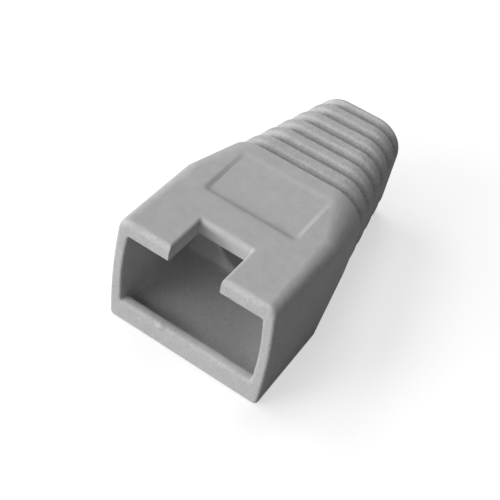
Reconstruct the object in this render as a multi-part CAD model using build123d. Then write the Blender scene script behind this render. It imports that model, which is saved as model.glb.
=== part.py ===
from build123d import *
from math import sqrt
import os

# One moulded sleeve that shields a modular network plug and the first bit of its cord.
# Millimetres. Drawn with the mouth at y = 0 facing -Y and the tail towards +Y, resting on z = 0,
# then placed with the middle of its length over the origin.

# Head, measured at the mouth
mouth_width = 12.0
head_height = 10.62
head_half_top = 6.80
head_half_bottom = 7.00
side_bow = 0.19
rear_bow = 0.03
straight_length = 8.45
straight_half_top = 6.90
straight_half_bottom = 6.89
head_end = 13.55
head_end_half = 6.52
head_end_half_bottom = 5.97

# Corner radii that grow from the mouth to the tail
mouth_top_radius = 0.82
straight_top_radius = 1.20
head_end_top_radius = 2.85
mouth_bottom_radius = 0.30
straight_bottom_radius = 0.40
head_end_bottom_radius = 2.9

# Rounding of the front rim
rim_top_round = 0.5
rim_side_round = 0.25
rim_bottom_round = 0.1

# Plug pocket
pocket_depth = 8.6
pocket_floor = 1.42
pocket_ceiling = 9.285
pocket_half_top = 5.88
pocket_lean = 0.07
pocket_corner = 0.25
lip_top = 2.156
lip_depth = 0.72
lip_round = 0.42
mouth_inner_round = 0.2
# Share of the mouth's widening that its ceiling and its corners take
ceiling_growth = 0.25
corner_growth = 0.5

# Latch notch in the top wall
notch_half = 2.25
notch_depth = 3.74
notch_corner = 0.12
notch_side_round = 0.25
notch_back_round = 0.45

# Shallow bare panel on the top
panel_half = 4.02
panel_front = 6.86
panel_back = 12.07
panel_front_depth = 0.20
panel_back_depth = 0.06
panel_corner = 0.30
panel_wall_slope = 0.36

# Ribbed tail
first_ring = 1.99
ring_pitch = 1.93
ring_count = 5
end_ring = 1.72
tail_start_top = 10.50
tail_end_top = 9.65
tail_start_half = 6.39
tail_end_half = 4.03
tail_start_half_bottom = 5.76
tail_end_half_bottom = 3.79
tail_start_top_radius = 2.80
tail_end_top_radius = 2.50
tail_start_bottom_radius = 1.75
tail_end_bottom_radius = 2.1
tail_end_round = 0.50
first_groove_depth = 0.45
groove_depth_top = 0.52
groove_depth_side = 0.30
# Share of a groove's depth that reaches the foot of the sides, and that the top corners lose
groove_foot = 0.25
groove_corner = 0.5
groove_step = 0.05
groove_floor = 0.72
groove_shoulder = 1.22

# Cable passage
bore_radius = 3.05
bore_height = 4.8
bore_chamfer = 0.1

# Where outlines follow a rounding, as shares of its radius
rim_steps = [0.0, 0.04, 0.14, 0.26, 0.72, 1.0]
mouth_steps = [0.0, 0.1, 0.3, 0.6, 1.0]
notch_steps = [1.0, 0.6, 0.32, 0.12, 0.0]
tail_end_steps = [0.5, 0.24, 0.08, 0.0]
# From a groove's floor to its shoulder: share of the way, share of the depth that is left
rise_steps = [(0.25, 0.6), (0.55, 0.25)]

# How far one cut runs into the next
lip_overlap = 0.1
notch_overlap = 0.5
cut_over = 1.0

# Derived
pocket_half_bottom = mouth_width / 2 + pocket_lean
tail_end = head_end + first_ring + ring_pitch * (ring_count - 1) + end_ring


def blend(a, b, share):
    """A value part of the way from a to b."""
    return a + (b - a) * share


def outline(y, half_top, half_bottom, top, bottom, radius_top, radius_bottom, bow=0.0):
    """Closed outline at one station: flat top and bottom, round corners, sides that may lean and bow."""
    height = top - bottom
    lean = half_bottom - half_top
    length = sqrt(height * height + lean * lean)
    out_x = height / length
    out_z = lean / length
    reach = half_top * out_x + top * out_z
    top_z = top - radius_top
    top_x = (reach - radius_top - top_z * out_z) / out_x
    low_z = bottom + radius_bottom
    low_x = (reach - radius_bottom - low_z * out_z) / out_x

    def corner(centre_x, centre_z, radius, up):
        side = (centre_x + radius * out_x, centre_z + radius * out_z)
        flat = (centre_x, centre_z + up * radius)
        mid_x = out_x
        mid_z = out_z + up
        size = sqrt(mid_x * mid_x + mid_z * mid_z)
        middle = (centre_x + radius * mid_x / size, centre_z + radius * mid_z / size)
        return flat, middle, side

    upper = corner(top_x, top_z, radius_top, 1)
    lower = corner(low_x, low_z, radius_bottom, -1)
    side_mid = (
        (upper[2][0] + lower[2][0]) / 2 + bow * out_x,
        (upper[2][1] + lower[2][1]) / 2 + bow * out_z,
    )

    def place(point, sign):
        return Vector(sign * point[0], y, point[1])

    edges = [
        Edge.make_line(place(upper[0], -1), place(upper[0], 1)),
        Edge.make_three_point_arc(place(upper[0], 1), place(upper[1], 1), place(upper[2], 1)),
        side_edge(place(upper[2], 1), place(side_mid, 1), place(lower[2], 1), bow),
        Edge.make_three_point_arc(place(lower[2], 1), place(lower[1], 1), place(lower[0], 1)),
        Edge.make_line(place(lower[0], 1), place(lower[0], -1)),
        Edge.make_three_point_arc(place(lower[0], -1), place(lower[1], -1), place(lower[2], -1)),
        side_edge(place(lower[2], -1), place(side_mid, -1), place(upper[2], -1), bow),
        Edge.make_three_point_arc(place(upper[2], -1), place(upper[1], -1), place(upper[0], -1)),
    ]
    return Wire(edges)


def side_edge(start, middle, end, bow):
    """One side of an outline, straight or gently bowed."""
    if bow > 0:
        return Edge.make_three_point_arc(start, middle, end)
    return Edge.make_line(start, end)


def steps_along(radius, shares):
    """Distances from an edge at which outlines follow its rounding."""
    return [radius * share for share in shares]


def rim_inset(y, radius):
    """How far a rounded rim of this radius lies inside the full outline."""
    if y >= radius:
        return 0.0
    return radius - sqrt(radius * radius - (radius - y) ** 2)


def head_outline(y):
    """Outer outline of the head at y, with the rim rounding and the growing corners."""
    if y <= straight_length:
        share = y / straight_length
        half_top = blend(head_half_top, straight_half_top, share)
        half_bottom = blend(head_half_bottom, straight_half_bottom, share)
        radius_top = blend(mouth_top_radius, straight_top_radius, share)
        radius_bottom = blend(mouth_bottom_radius, straight_bottom_radius, share)
        bow = blend(side_bow, rear_bow, share)
    else:
        share = (y - straight_length) / (head_end - straight_length)
        half_top = blend(straight_half_top, head_end_half, share)
        half_bottom = blend(straight_half_bottom, head_end_half_bottom, share)
        radius_top = blend(straight_top_radius, head_end_top_radius, share)
        radius_bottom = blend(straight_bottom_radius, head_end_bottom_radius, share)
        bow = rear_bow
    side = rim_inset(y, rim_side_round)
    return outline(
        y,
        half_top - side,
        half_bottom - side,
        head_height - rim_inset(y, rim_top_round),
        rim_inset(y, rim_bottom_round),
        radius_top,
        radius_bottom,
        bow,
    )


def tail_outline(y, height_y, drop=0.0, narrow=0.0):
    """Outline of the tail at y, as high as its taper is at height_y; drop and narrow give a groove."""
    share = (y - head_end) / (tail_end - head_end)
    height_share = (height_y - head_end) / (tail_end - head_end)
    return outline(
        y,
        blend(tail_start_half, tail_end_half, share) - narrow,
        blend(tail_start_half_bottom, tail_end_half_bottom, share) - narrow * groove_foot,
        blend(tail_start_top, tail_end_top, height_share) - drop,
        0.0,
        blend(tail_start_top_radius, tail_end_top_radius, share) - drop * groove_corner,
        blend(tail_start_bottom_radius, tail_end_bottom_radius, share),
    )


def ring_edges():
    """Rear edges of the head and of every ring, front to back."""
    edges = [head_end]
    for i in range(ring_count):
        edges.append(head_end + first_ring + ring_pitch * i)
    edges.append(tail_end)
    return edges


def body_stations():
    """Every outline of the outer body, front to back. Each ring is level on top and ends in a step."""
    rim = sorted(steps_along(rim_top_round, rim_steps) + [rim_side_round])
    wires = []
    for y in rim + [straight_length, head_end]:
        wires.append(head_outline(y))
    edges = ring_edges()
    for start, end in zip(edges[:-1], edges[1:]):
        drop = first_groove_depth if start == head_end else groove_depth_top
        narrow = groove_depth_side
        wires.append(tail_outline(start + groove_step, end, drop, narrow))
        wires.append(tail_outline(start + groove_floor, end, drop, narrow))
        for way, left in rise_steps:
            y = start + blend(groove_floor, groove_shoulder, way)
            wires.append(tail_outline(y, end, drop * left, narrow * left))
        wires.append(tail_outline(start + groove_shoulder, end))
        if end < tail_end:
            wires.append(tail_outline(end, end))
    for back in steps_along(tail_end_round, tail_end_steps):
        inset = rim_inset(back, tail_end_round)
        wires.append(tail_outline(tail_end - back, tail_end, inset, inset))
    return wires


def body():
    """Outer body from mouth to tail as one ruled skin."""
    return Solid.make_loft(body_stations(), True)


def pocket_wire(y, floor, bow, grow=0.0):
    """Outline of the plug pocket at y; grow widens it towards a rounded mouth."""
    return outline(
        y,
        pocket_half_top + grow,
        pocket_half_bottom + grow,
        pocket_ceiling + grow * ceiling_growth,
        floor,
        pocket_corner + grow * corner_growth,
        pocket_corner,
        bow,
    )


def pocket():
    """Plug pocket: full depth behind the lip, shallower floor over the lip, with a rounded mouth."""
    wires = [pocket_wire(-cut_over, lip_top - lip_round, side_bow, mouth_inner_round)]
    for y in steps_along(mouth_inner_round, mouth_steps) + [lip_round, lip_depth + lip_overlap]:
        floor = lip_top - rim_inset(y, lip_round)
        wires.append(pocket_wire(y, floor, side_bow, rim_inset(y, mouth_inner_round)))
    over_lip = Solid.make_loft(wires, True)
    behind = Solid.make_loft(
        [pocket_wire(lip_depth, pocket_floor, side_bow), pocket_wire(pocket_depth, pocket_floor, rear_bow)],
        True,
    )
    return over_lip + behind


def notch():
    """Open-fronted latch notch through the top wall, its upper edges rounded."""

    def plan(side_grow, back_grow, z):
        half = notch_half + side_grow
        back = notch_depth + back_grow
        sketch = Pos(0, (back - cut_over) / 2, z) * Rectangle(2 * half, back + cut_over)
        rounded = fillet(sketch.vertices().group_by(Axis.Y)[-1], notch_corner + side_grow)
        return rounded.wire()

    wires = [plan(0, 0, pocket_ceiling - notch_overlap)]
    for below in [notch_back_round] + steps_along(notch_side_round, notch_steps):
        side_grow = rim_inset(below, notch_side_round)
        back_grow = rim_inset(below, notch_back_round)
        wires.append(plan(side_grow, back_grow, head_height - below))
    wires.append(plan(notch_side_round, notch_back_round, head_height + cut_over))
    return Solid.make_loft(wires, True)


def panel():
    """Shallow bare recess on the top with sloping walls, a little deeper at its front."""
    length = panel_back - panel_front
    middle = panel_front + length / 2
    slope = (panel_front_depth - panel_back_depth) / length
    depth = (panel_front_depth + panel_back_depth) / 2

    def plan(plane, grow):
        rounded = RectangleRounded(2 * (panel_half + grow), length + 2 * grow, panel_corner + grow)
        return (plane * rounded).wire()

    across = panel_wall_slope / 2
    low = Plane(origin=(0, middle, head_height - depth), x_dir=(1, 0, 0), z_dir=(0, -slope, 1))
    top = Plane(origin=(0, middle, head_height), x_dir=(1, 0, 0), z_dir=(0, 0, 1))
    above = Plane(origin=(0, middle, head_height + cut_over), x_dir=(1, 0, 0), z_dir=(0, 0, 1))
    return Solid.make_loft([plan(low, -across), plan(top, across), plan(above, across)], True)


def cable_bore():
    """Round passage from the pocket to the tail, with a lead-in."""
    length = tail_end - pocket_depth + 2 * cut_over
    start = pocket_depth - cut_over
    bore = Pos(0, start + length / 2, bore_height) * Rot(-90, 0, 0) * Cylinder(bore_radius, length)
    cone = Pos(0, pocket_depth + bore_chamfer / 2, bore_height) * Rot(-90, 0, 0) * Cone(
        bore_radius + bore_chamfer, bore_radius, bore_chamfer
    )
    return bore + cone


def boot():
    """The whole part, standing over the origin."""
    solid = body() - pocket() - notch() - panel() - cable_bore()
    return Pos(0, -tail_end / 2, 0) * solid


part = boot()
os.makedirs("parts", exist_ok=True)
export_step(part, "parts/boot.step")
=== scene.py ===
import math

import bpy
from mathutils import Matrix, Vector


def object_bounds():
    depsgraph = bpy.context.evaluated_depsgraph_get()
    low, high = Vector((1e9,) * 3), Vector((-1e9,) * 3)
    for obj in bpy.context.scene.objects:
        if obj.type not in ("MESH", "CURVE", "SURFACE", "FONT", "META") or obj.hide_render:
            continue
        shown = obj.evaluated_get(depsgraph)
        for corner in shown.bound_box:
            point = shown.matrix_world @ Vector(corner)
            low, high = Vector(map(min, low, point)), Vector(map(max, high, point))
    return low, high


MM = 0.001
MASK_SPAN = (0.0, 1.0)
WHITE = (1.0, 1.0, 1.0, 1.0)

# Camera, found by fitting the part's edges to the photograph: degrees, mm and its pixels
LENS_PX = 1066.6
IMAGE_PX = 500
SENSOR_MM = 36.0
AZIMUTH = 25.245
ELEVATION = 45.942
ROLL = 11.895
DISTANCE = 83.238
TARGET = (0.0, -4.49, 5.0)
OFFSET = (0.185, 0.438)
CLIP_NEAR = 5.0
CLIP_FAR = 5000.0

# Colour and gloss of the moulded plastic; the grey is linear
GREY = 0.425
SPECULAR = 0.12
ROUGHNESS = (0.82, 0.95)

# Noises: cells per metre, detail and roughness
FINE_GRAIN = (5200.0, 2.0, 0.6)
COARSE_GRAIN = (1500.0, 2.0, 0.5)
SPECKS = (4800.0, 2.0, 0.6)
CLOUDS = (1300.0, 2.0, 0.5)
FLOW_MARKS = (350.0, 3.0, 0.5)

# Span of a noise's usual values, their middle, and the shares of the tone that the span gives
NOISE_SPREAD = (0.3, 0.7)
NOISE_MIDDLE = 0.5
FLOW_TONE = (0.975, 1.025)
CLOUD_TONE = (0.96, 1.04)

# Grain where its mask is 0 and where it is 1: swing of the tone, and strength of the relief
SPECK_SWING = (0.07, 0.66)
BUMP_STRENGTH = (0.3, 1.0)

# Relief: its height in mm, and how far the coarse grain stands over the fine one
BUMP_DISTANCE = 0.03
COARSE_SHARE = 1.6

# How plain the grain is, 0 to 1, and where that comes in, mm: in from the mouth, or out from the middle
TAIL_GRAIN = 1.0
TAIL_GRAIN_START = (13.09, 14.09)
RIM_GRAIN = 0.9
RIM_GRAIN_START = (0.59, 0.09)
SIDE_GRAIN = 0.65
SIDE_GRAIN_START = (5.6, 6.8)
POCKET_GRAIN = 0.55

# Softened edges, mm: the panel's front and back edges are nearly washed out, the tail's are crisp
BEVEL_SAMPLES = 6
EDGE_RADIUS = 0.12
PANEL_EDGES = (6.86, 12.07)
PANEL_EDGE_RADIUS = 0.6
PANEL_EDGE_REACH = (0.4, 0.9)
TAIL_EDGE_SHARE = 0.25
TAIL_EDGE_START = (12.89, 13.49)
POCKET_EDGE_RADIUS = 0.28
POCKET_BACK_RADIUS = 0.8
POCKET_BACK_START = (7.29, 8.09)

# Walls of the pocket behind the lip, mm: across, in from the mouth and up
POCKET_LOW = (-6.1, 0.79, 1.0)
POCKET_HIGH = (6.1, 8.89, 9.2)

# Small nick in the front edge of the lip: place and reach in the same measures, then the tone of the
# painted highlight on it, and its relief
NICK_PLACE = (-2.2, 0.02, 1.92)
NICK_REACH = 0.4
NICK_PAINTED_HIGHLIGHT = 1.15
NICK_HEIGHT = 4.0

# Floor: half its side and its gap under the part in mm, then its tones, to the camera and to other rays
FLOOR_HALF = 1000.0
FLOOR_GAP = 0.02
FLOOR_LIT = 0.5
FLOOR_GLOW = 0.6
FLOOR_UNSEEN = 0.35

# Soft lamps all round: degrees round from the front towards +X, degrees above the floor, strength
LAMPS = [
    ("left_low", 315, 8, 0.54),
    ("front_left_low", 330, 8, 0.31),
    ("left_high", 270, 48, 0.26),
    ("rear_left_top", 225, 68, 0.26),
    ("front_left", 330, 28, 0.185),
    ("left_middle", 300, 48, 0.14),
    ("front", 0, 28, 0.125),
    ("right_fill", 60, 28, 0.06),
]
LAMP_SPREAD = 24
LAMP_DISTANCE = 200.0
WORLD_FILL = 0.05
WORLD_SEEN = 1.0

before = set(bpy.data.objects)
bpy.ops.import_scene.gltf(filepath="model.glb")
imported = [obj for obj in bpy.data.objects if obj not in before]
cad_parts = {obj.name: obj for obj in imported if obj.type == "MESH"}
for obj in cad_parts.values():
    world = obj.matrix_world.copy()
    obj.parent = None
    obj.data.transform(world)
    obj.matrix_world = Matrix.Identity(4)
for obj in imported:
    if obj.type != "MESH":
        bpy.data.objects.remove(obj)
cad_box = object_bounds()


def metres(*lengths):
    """Lengths in mm, in metres."""
    return [length * MM for length in lengths]


def along(*depths):
    """Places along the part, given in mm in from the mouth."""
    return [cad_box[0].y + depth * MM for depth in depths]


def spot(place):
    """A place given in mm across, in from the mouth and up."""
    return Vector((0.0, cad_box[0].y, 0.0)) + Vector(place) * MM


def direction(azimuth, elevation):
    """Unit vector so many degrees round from the front towards +X and so many above the floor."""
    a = math.radians(azimuth)
    e = math.radians(elevation)
    return Vector((math.sin(a) * math.cos(e), -math.cos(a) * math.cos(e), math.sin(e)))


def add_camera():
    """Camera at the photograph's angle and distance."""
    a = math.radians(AZIMUTH)
    r = math.radians(ROLL)
    back = direction(AZIMUTH, ELEVATION)
    level = Vector((math.cos(a), math.sin(a), 0.0))
    upright = back.cross(level)
    right = level * math.cos(r) + upright * math.sin(r)
    up = upright * math.cos(r) - level * math.sin(r)
    eye = Vector(TARGET) + right * OFFSET[0] + up * OFFSET[1] + back * DISTANCE
    data = bpy.data.cameras.new("camera")
    data.sensor_width = SENSOR_MM
    data.lens = LENS_PX * SENSOR_MM / IMAGE_PX
    data.clip_start = CLIP_NEAR * MM
    data.clip_end = CLIP_FAR * MM
    cam = bpy.data.objects.new("camera", data)
    axes = Matrix((right, up, back)).transposed()
    cam.matrix_world = Matrix.Translation(eye * MM) @ axes.to_4x4()
    bpy.context.scene.collection.objects.link(cam)
    bpy.context.scene.camera = cam


def feed(tree, socket, value):
    """Links a source to a socket, or sets the socket to a number, a place or a colour."""
    if isinstance(value, bpy.types.NodeSocket):
        tree.links.new(value, socket)
    else:
        socket.default_value = value


def add_node(tree, kind, inputs):
    """One shader node, with its inputs given by name."""
    node = tree.nodes.new(kind)
    for name, value in inputs.items():
        feed(tree, node.inputs[name], value)
    return node


def math_node(tree, operation, *values):
    """One arithmetic step on sources or numbers."""
    node = tree.nodes.new("ShaderNodeMath")
    node.operation = operation
    for socket, value in zip(node.inputs, values):
        feed(tree, socket, value)
    return node.outputs[0]


def noise(tree, place, measures):
    """Noise with these cells per metre, detail and roughness."""
    scale, detail, rough = measures
    inputs = {"Vector": place, "Scale": scale, "Detail": detail, "Roughness": rough}
    return add_node(tree, "ShaderNodeTexNoise", inputs).outputs["Fac"]


def remap(tree, source, span, result):
    """Maps a span of the source to a result; past the span the result stays at its ends."""
    names = ("Value", "From Min", "From Max", "To Min", "To Max")
    inputs = dict(zip(names, (source, *span, *result)))
    return add_node(tree, "ShaderNodeMapRange", inputs).outputs["Result"]


def within_pocket(tree, axes):
    """1 on the walls of the pocket behind the lip, 0 elsewhere."""
    inside = 1.0
    for axis, low, high in zip("XYZ", spot(POCKET_LOW), spot(POCKET_HIGH)):
        within = math_node(tree, "COMPARE", axes[axis], (low + high) / 2, (high - low) / 2)
        inside = math_node(tree, "MULTIPLY", inside, within)
    return inside


def grain_mask(tree, axes, pocket):
    """How plain the grain is: most on the tail, then on the rim, sides and pocket, and 0 elsewhere."""
    across = math_node(tree, "ABSOLUTE", axes["X"])
    tail = remap(tree, axes["Y"], along(*TAIL_GRAIN_START), (0.0, TAIL_GRAIN))
    rim = remap(tree, axes["Y"], along(*RIM_GRAIN_START), (0.0, RIM_GRAIN))
    side = remap(tree, across, metres(*SIDE_GRAIN_START), (0.0, SIDE_GRAIN))
    walls = math_node(tree, "MULTIPLY", pocket, POCKET_GRAIN)
    mask = tail
    for part in (rim, side, walls):
        mask = math_node(tree, "MAXIMUM", mask, part)
    return mask


def edge_softness(tree, axes, pocket):
    """Radius of the softened edges, outside and in the pocket, where it grows towards the back wall."""
    distances = []
    for edge in along(*PANEL_EDGES):
        past = math_node(tree, "SUBTRACT", axes["Y"], edge)
        distances.append(math_node(tree, "ABSOLUTE", past))
    near = math_node(tree, "MINIMUM", *distances)
    radius = remap(tree, near, metres(*PANEL_EDGE_REACH), metres(PANEL_EDGE_RADIUS, EDGE_RADIUS))
    crisp = remap(tree, axes["Y"], along(*TAIL_EDGE_START), (1.0, TAIL_EDGE_SHARE))
    radius = math_node(tree, "MULTIPLY", radius, crisp)
    deep_radii = metres(POCKET_EDGE_RADIUS, POCKET_BACK_RADIUS)
    deep = remap(tree, axes["Y"], along(*POCKET_BACK_START), deep_radii)
    wide = math_node(tree, "MULTIPLY", pocket, deep)
    return math_node(tree, "MAXIMUM", radius, wide)


def nick(tree, place):
    """1 at the middle of the nick and its painted highlight, falling to 0 at its reach."""
    away = tree.nodes.new("ShaderNodeVectorMath")
    away.operation = "DISTANCE"
    feed(tree, away.inputs[0], place)
    feed(tree, away.inputs[1], spot(NICK_PLACE))
    return remap(tree, away.outputs["Value"], metres(0.0, NICK_REACH), (1.0, 0.0))


def plastic_colour(tree, place, grain, nick_and_highlight):
    """Grey with flow marks and faint clouds, specks where the grain is plain, and a painted highlight on
    the nick.
    """
    flow = remap(tree, noise(tree, place, FLOW_MARKS), NOISE_SPREAD, FLOW_TONE)
    clouds = remap(tree, noise(tree, place, CLOUDS), NOISE_SPREAD, CLOUD_TONE)
    off_middle = math_node(tree, "SUBTRACT", noise(tree, place, SPECKS), NOISE_MIDDLE)
    swing = remap(tree, grain, MASK_SPAN, SPECK_SWING)
    specks = math_node(tree, "MULTIPLY", off_middle, swing)
    specks = math_node(tree, "ADD", specks, 1.0)
    # Painted highlight: the colour is made lighter over the nick, standing in for the light it catches
    light = remap(tree, nick_and_highlight, MASK_SPAN, (1.0, NICK_PAINTED_HIGHLIGHT))
    tone = flow
    for share in (clouds, specks, light, GREY):
        tone = math_node(tree, "MULTIPLY", tone, share)
    channels = dict.fromkeys(("Red", "Green", "Blue"), tone)
    return add_node(tree, "ShaderNodeCombineColor", channels).outputs[0]


def plastic_relief(tree, place, coarse, grain, nick_and_highlight, radius):
    """Surface direction: softened edges, with the grain and the nick raised over them."""
    height = math_node(tree, "MULTIPLY", coarse, COARSE_SHARE)
    height = math_node(tree, "ADD", height, noise(tree, place, FINE_GRAIN))
    raised = math_node(tree, "MULTIPLY", nick_and_highlight, NICK_HEIGHT)
    height = math_node(tree, "ADD", height, raised)
    edges = add_node(tree, "ShaderNodeBevel", {"Radius": radius})
    edges.samples = BEVEL_SAMPLES
    inputs = {
        "Strength": remap(tree, grain, MASK_SPAN, BUMP_STRENGTH),
        "Distance": BUMP_DISTANCE * MM,
        "Height": height,
        "Normal": edges.outputs[0],
    }
    return add_node(tree, "ShaderNodeBump", inputs).outputs[0]


def new_material(name):
    """Material with an empty tree."""
    mat = bpy.data.materials.new(name)
    mat.use_nodes = True
    mat.node_tree.nodes.clear()
    return mat


def moulded_plastic():
    """Matt grey flexible plastic, faintly mottled, with soft edges, a mould grain, and one small nick
    with a painted highlight on it.
    """
    mat = new_material("moulded_plastic")
    tree = mat.node_tree
    place = tree.nodes.new("ShaderNodeTexCoord").outputs["Object"]
    axes = add_node(tree, "ShaderNodeSeparateXYZ", {"Vector": place}).outputs
    pocket = within_pocket(tree, axes)
    grain = grain_mask(tree, axes, pocket)
    nick_and_highlight = nick(tree, place)
    coarse = noise(tree, place, COARSE_GRAIN)
    radius = edge_softness(tree, axes, pocket)
    inputs = {
        "Base Color": plastic_colour(tree, place, grain, nick_and_highlight),
        "Roughness": remap(tree, coarse, NOISE_SPREAD, ROUGHNESS),
        "Specular IOR Level": SPECULAR,
        "Normal": plastic_relief(tree, place, coarse, grain, nick_and_highlight, radius),
    }
    shader = add_node(tree, "ShaderNodeBsdfPrincipled", inputs)
    add_node(tree, "ShaderNodeOutputMaterial", {"Surface": shader.outputs[0]})
    return mat


def dull(tree, tone):
    """Diffuse shader of one grey tone."""
    return add_node(tree, "ShaderNodeBsdfDiffuse", {"Color": (tone, tone, tone, 1.0)}).outputs[0]


def bright(tree, kind, strength):
    """White emission or background of so much strength."""
    return add_node(tree, kind, {"Color": WHITE, "Strength": strength}).outputs[0]


def by_ray(tree, unseen, shown):
    """Shown to the camera and to rays that a gloss or a clear surface sends on, unseen to the rest."""
    path = tree.nodes.new("ShaderNodeLightPath").outputs
    seen = path["Is Camera Ray"]
    for kind in ("Is Glossy Ray", "Is Transmission Ray"):
        seen = math_node(tree, "MAXIMUM", seen, path[kind])
    mix = tree.nodes.new("ShaderNodeMixShader")
    for socket, value in zip(mix.inputs, (seen, unseen, shown)):
        feed(tree, socket, value)
    return mix.outputs[0]


def add_stage():
    """Plain white floor that keeps the object's shadow."""
    mesh = bpy.data.meshes.new("floor")
    half = FLOOR_HALF * MM
    corners = [(-half, -half, 0), (half, -half, 0), (half, half, 0), (-half, half, 0)]
    mesh.from_pydata(corners, [], [(0, 1, 2, 3)])
    floor = bpy.data.objects.new("floor", mesh)
    floor.location = (0, 0, cad_box[0].z - FLOOR_GAP * MM)
    bpy.context.scene.collection.objects.link(floor)
    mat = new_material("floor")
    tree = mat.node_tree
    shown = tree.nodes.new("ShaderNodeAddShader")
    feed(tree, shown.inputs[0], dull(tree, FLOOR_LIT))
    feed(tree, shown.inputs[1], bright(tree, "ShaderNodeEmission", FLOOR_GLOW))
    surface = by_ray(tree, dull(tree, FLOOR_UNSEEN), shown.outputs[0])
    add_node(tree, "ShaderNodeOutputMaterial", {"Surface": surface})
    mesh.materials.append(mat)


def add_lamp(name, azimuth, elevation, strength):
    """Soft distant lamp; strength 1 makes a white surface that faces it white."""
    data = bpy.data.lights.new(name, "SUN")
    data.angle = math.radians(LAMP_SPREAD)
    data.energy = strength * math.pi
    lamp = bpy.data.objects.new(name, data)
    away = direction(azimuth, elevation)
    lamp.location = away * LAMP_DISTANCE * MM
    lamp.rotation_mode = "QUATERNION"
    lamp.rotation_quaternion = away.to_track_quat("Z", "Y")
    bpy.context.scene.collection.objects.link(lamp)


def add_world():
    """Even fill light; the camera and reflections see white."""
    world = bpy.data.worlds.new("world")
    world.use_nodes = True
    bpy.context.scene.world = world
    tree = world.node_tree
    tree.nodes.clear()
    fill = bright(tree, "ShaderNodeBackground", WORLD_FILL)
    white = bright(tree, "ShaderNodeBackground", WORLD_SEEN)
    add_node(tree, "ShaderNodeOutputWorld", {"Surface": by_ray(tree, fill, white)})


add_camera()
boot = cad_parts["boot"]
plastic = moulded_plastic()
for slot in boot.material_slots:
    slot.material = plastic
add_stage()
for lamp_values in LAMPS:
    add_lamp(*lamp_values)
add_world()

scene = bpy.context.scene
scene.view_settings.view_transform = "Standard"
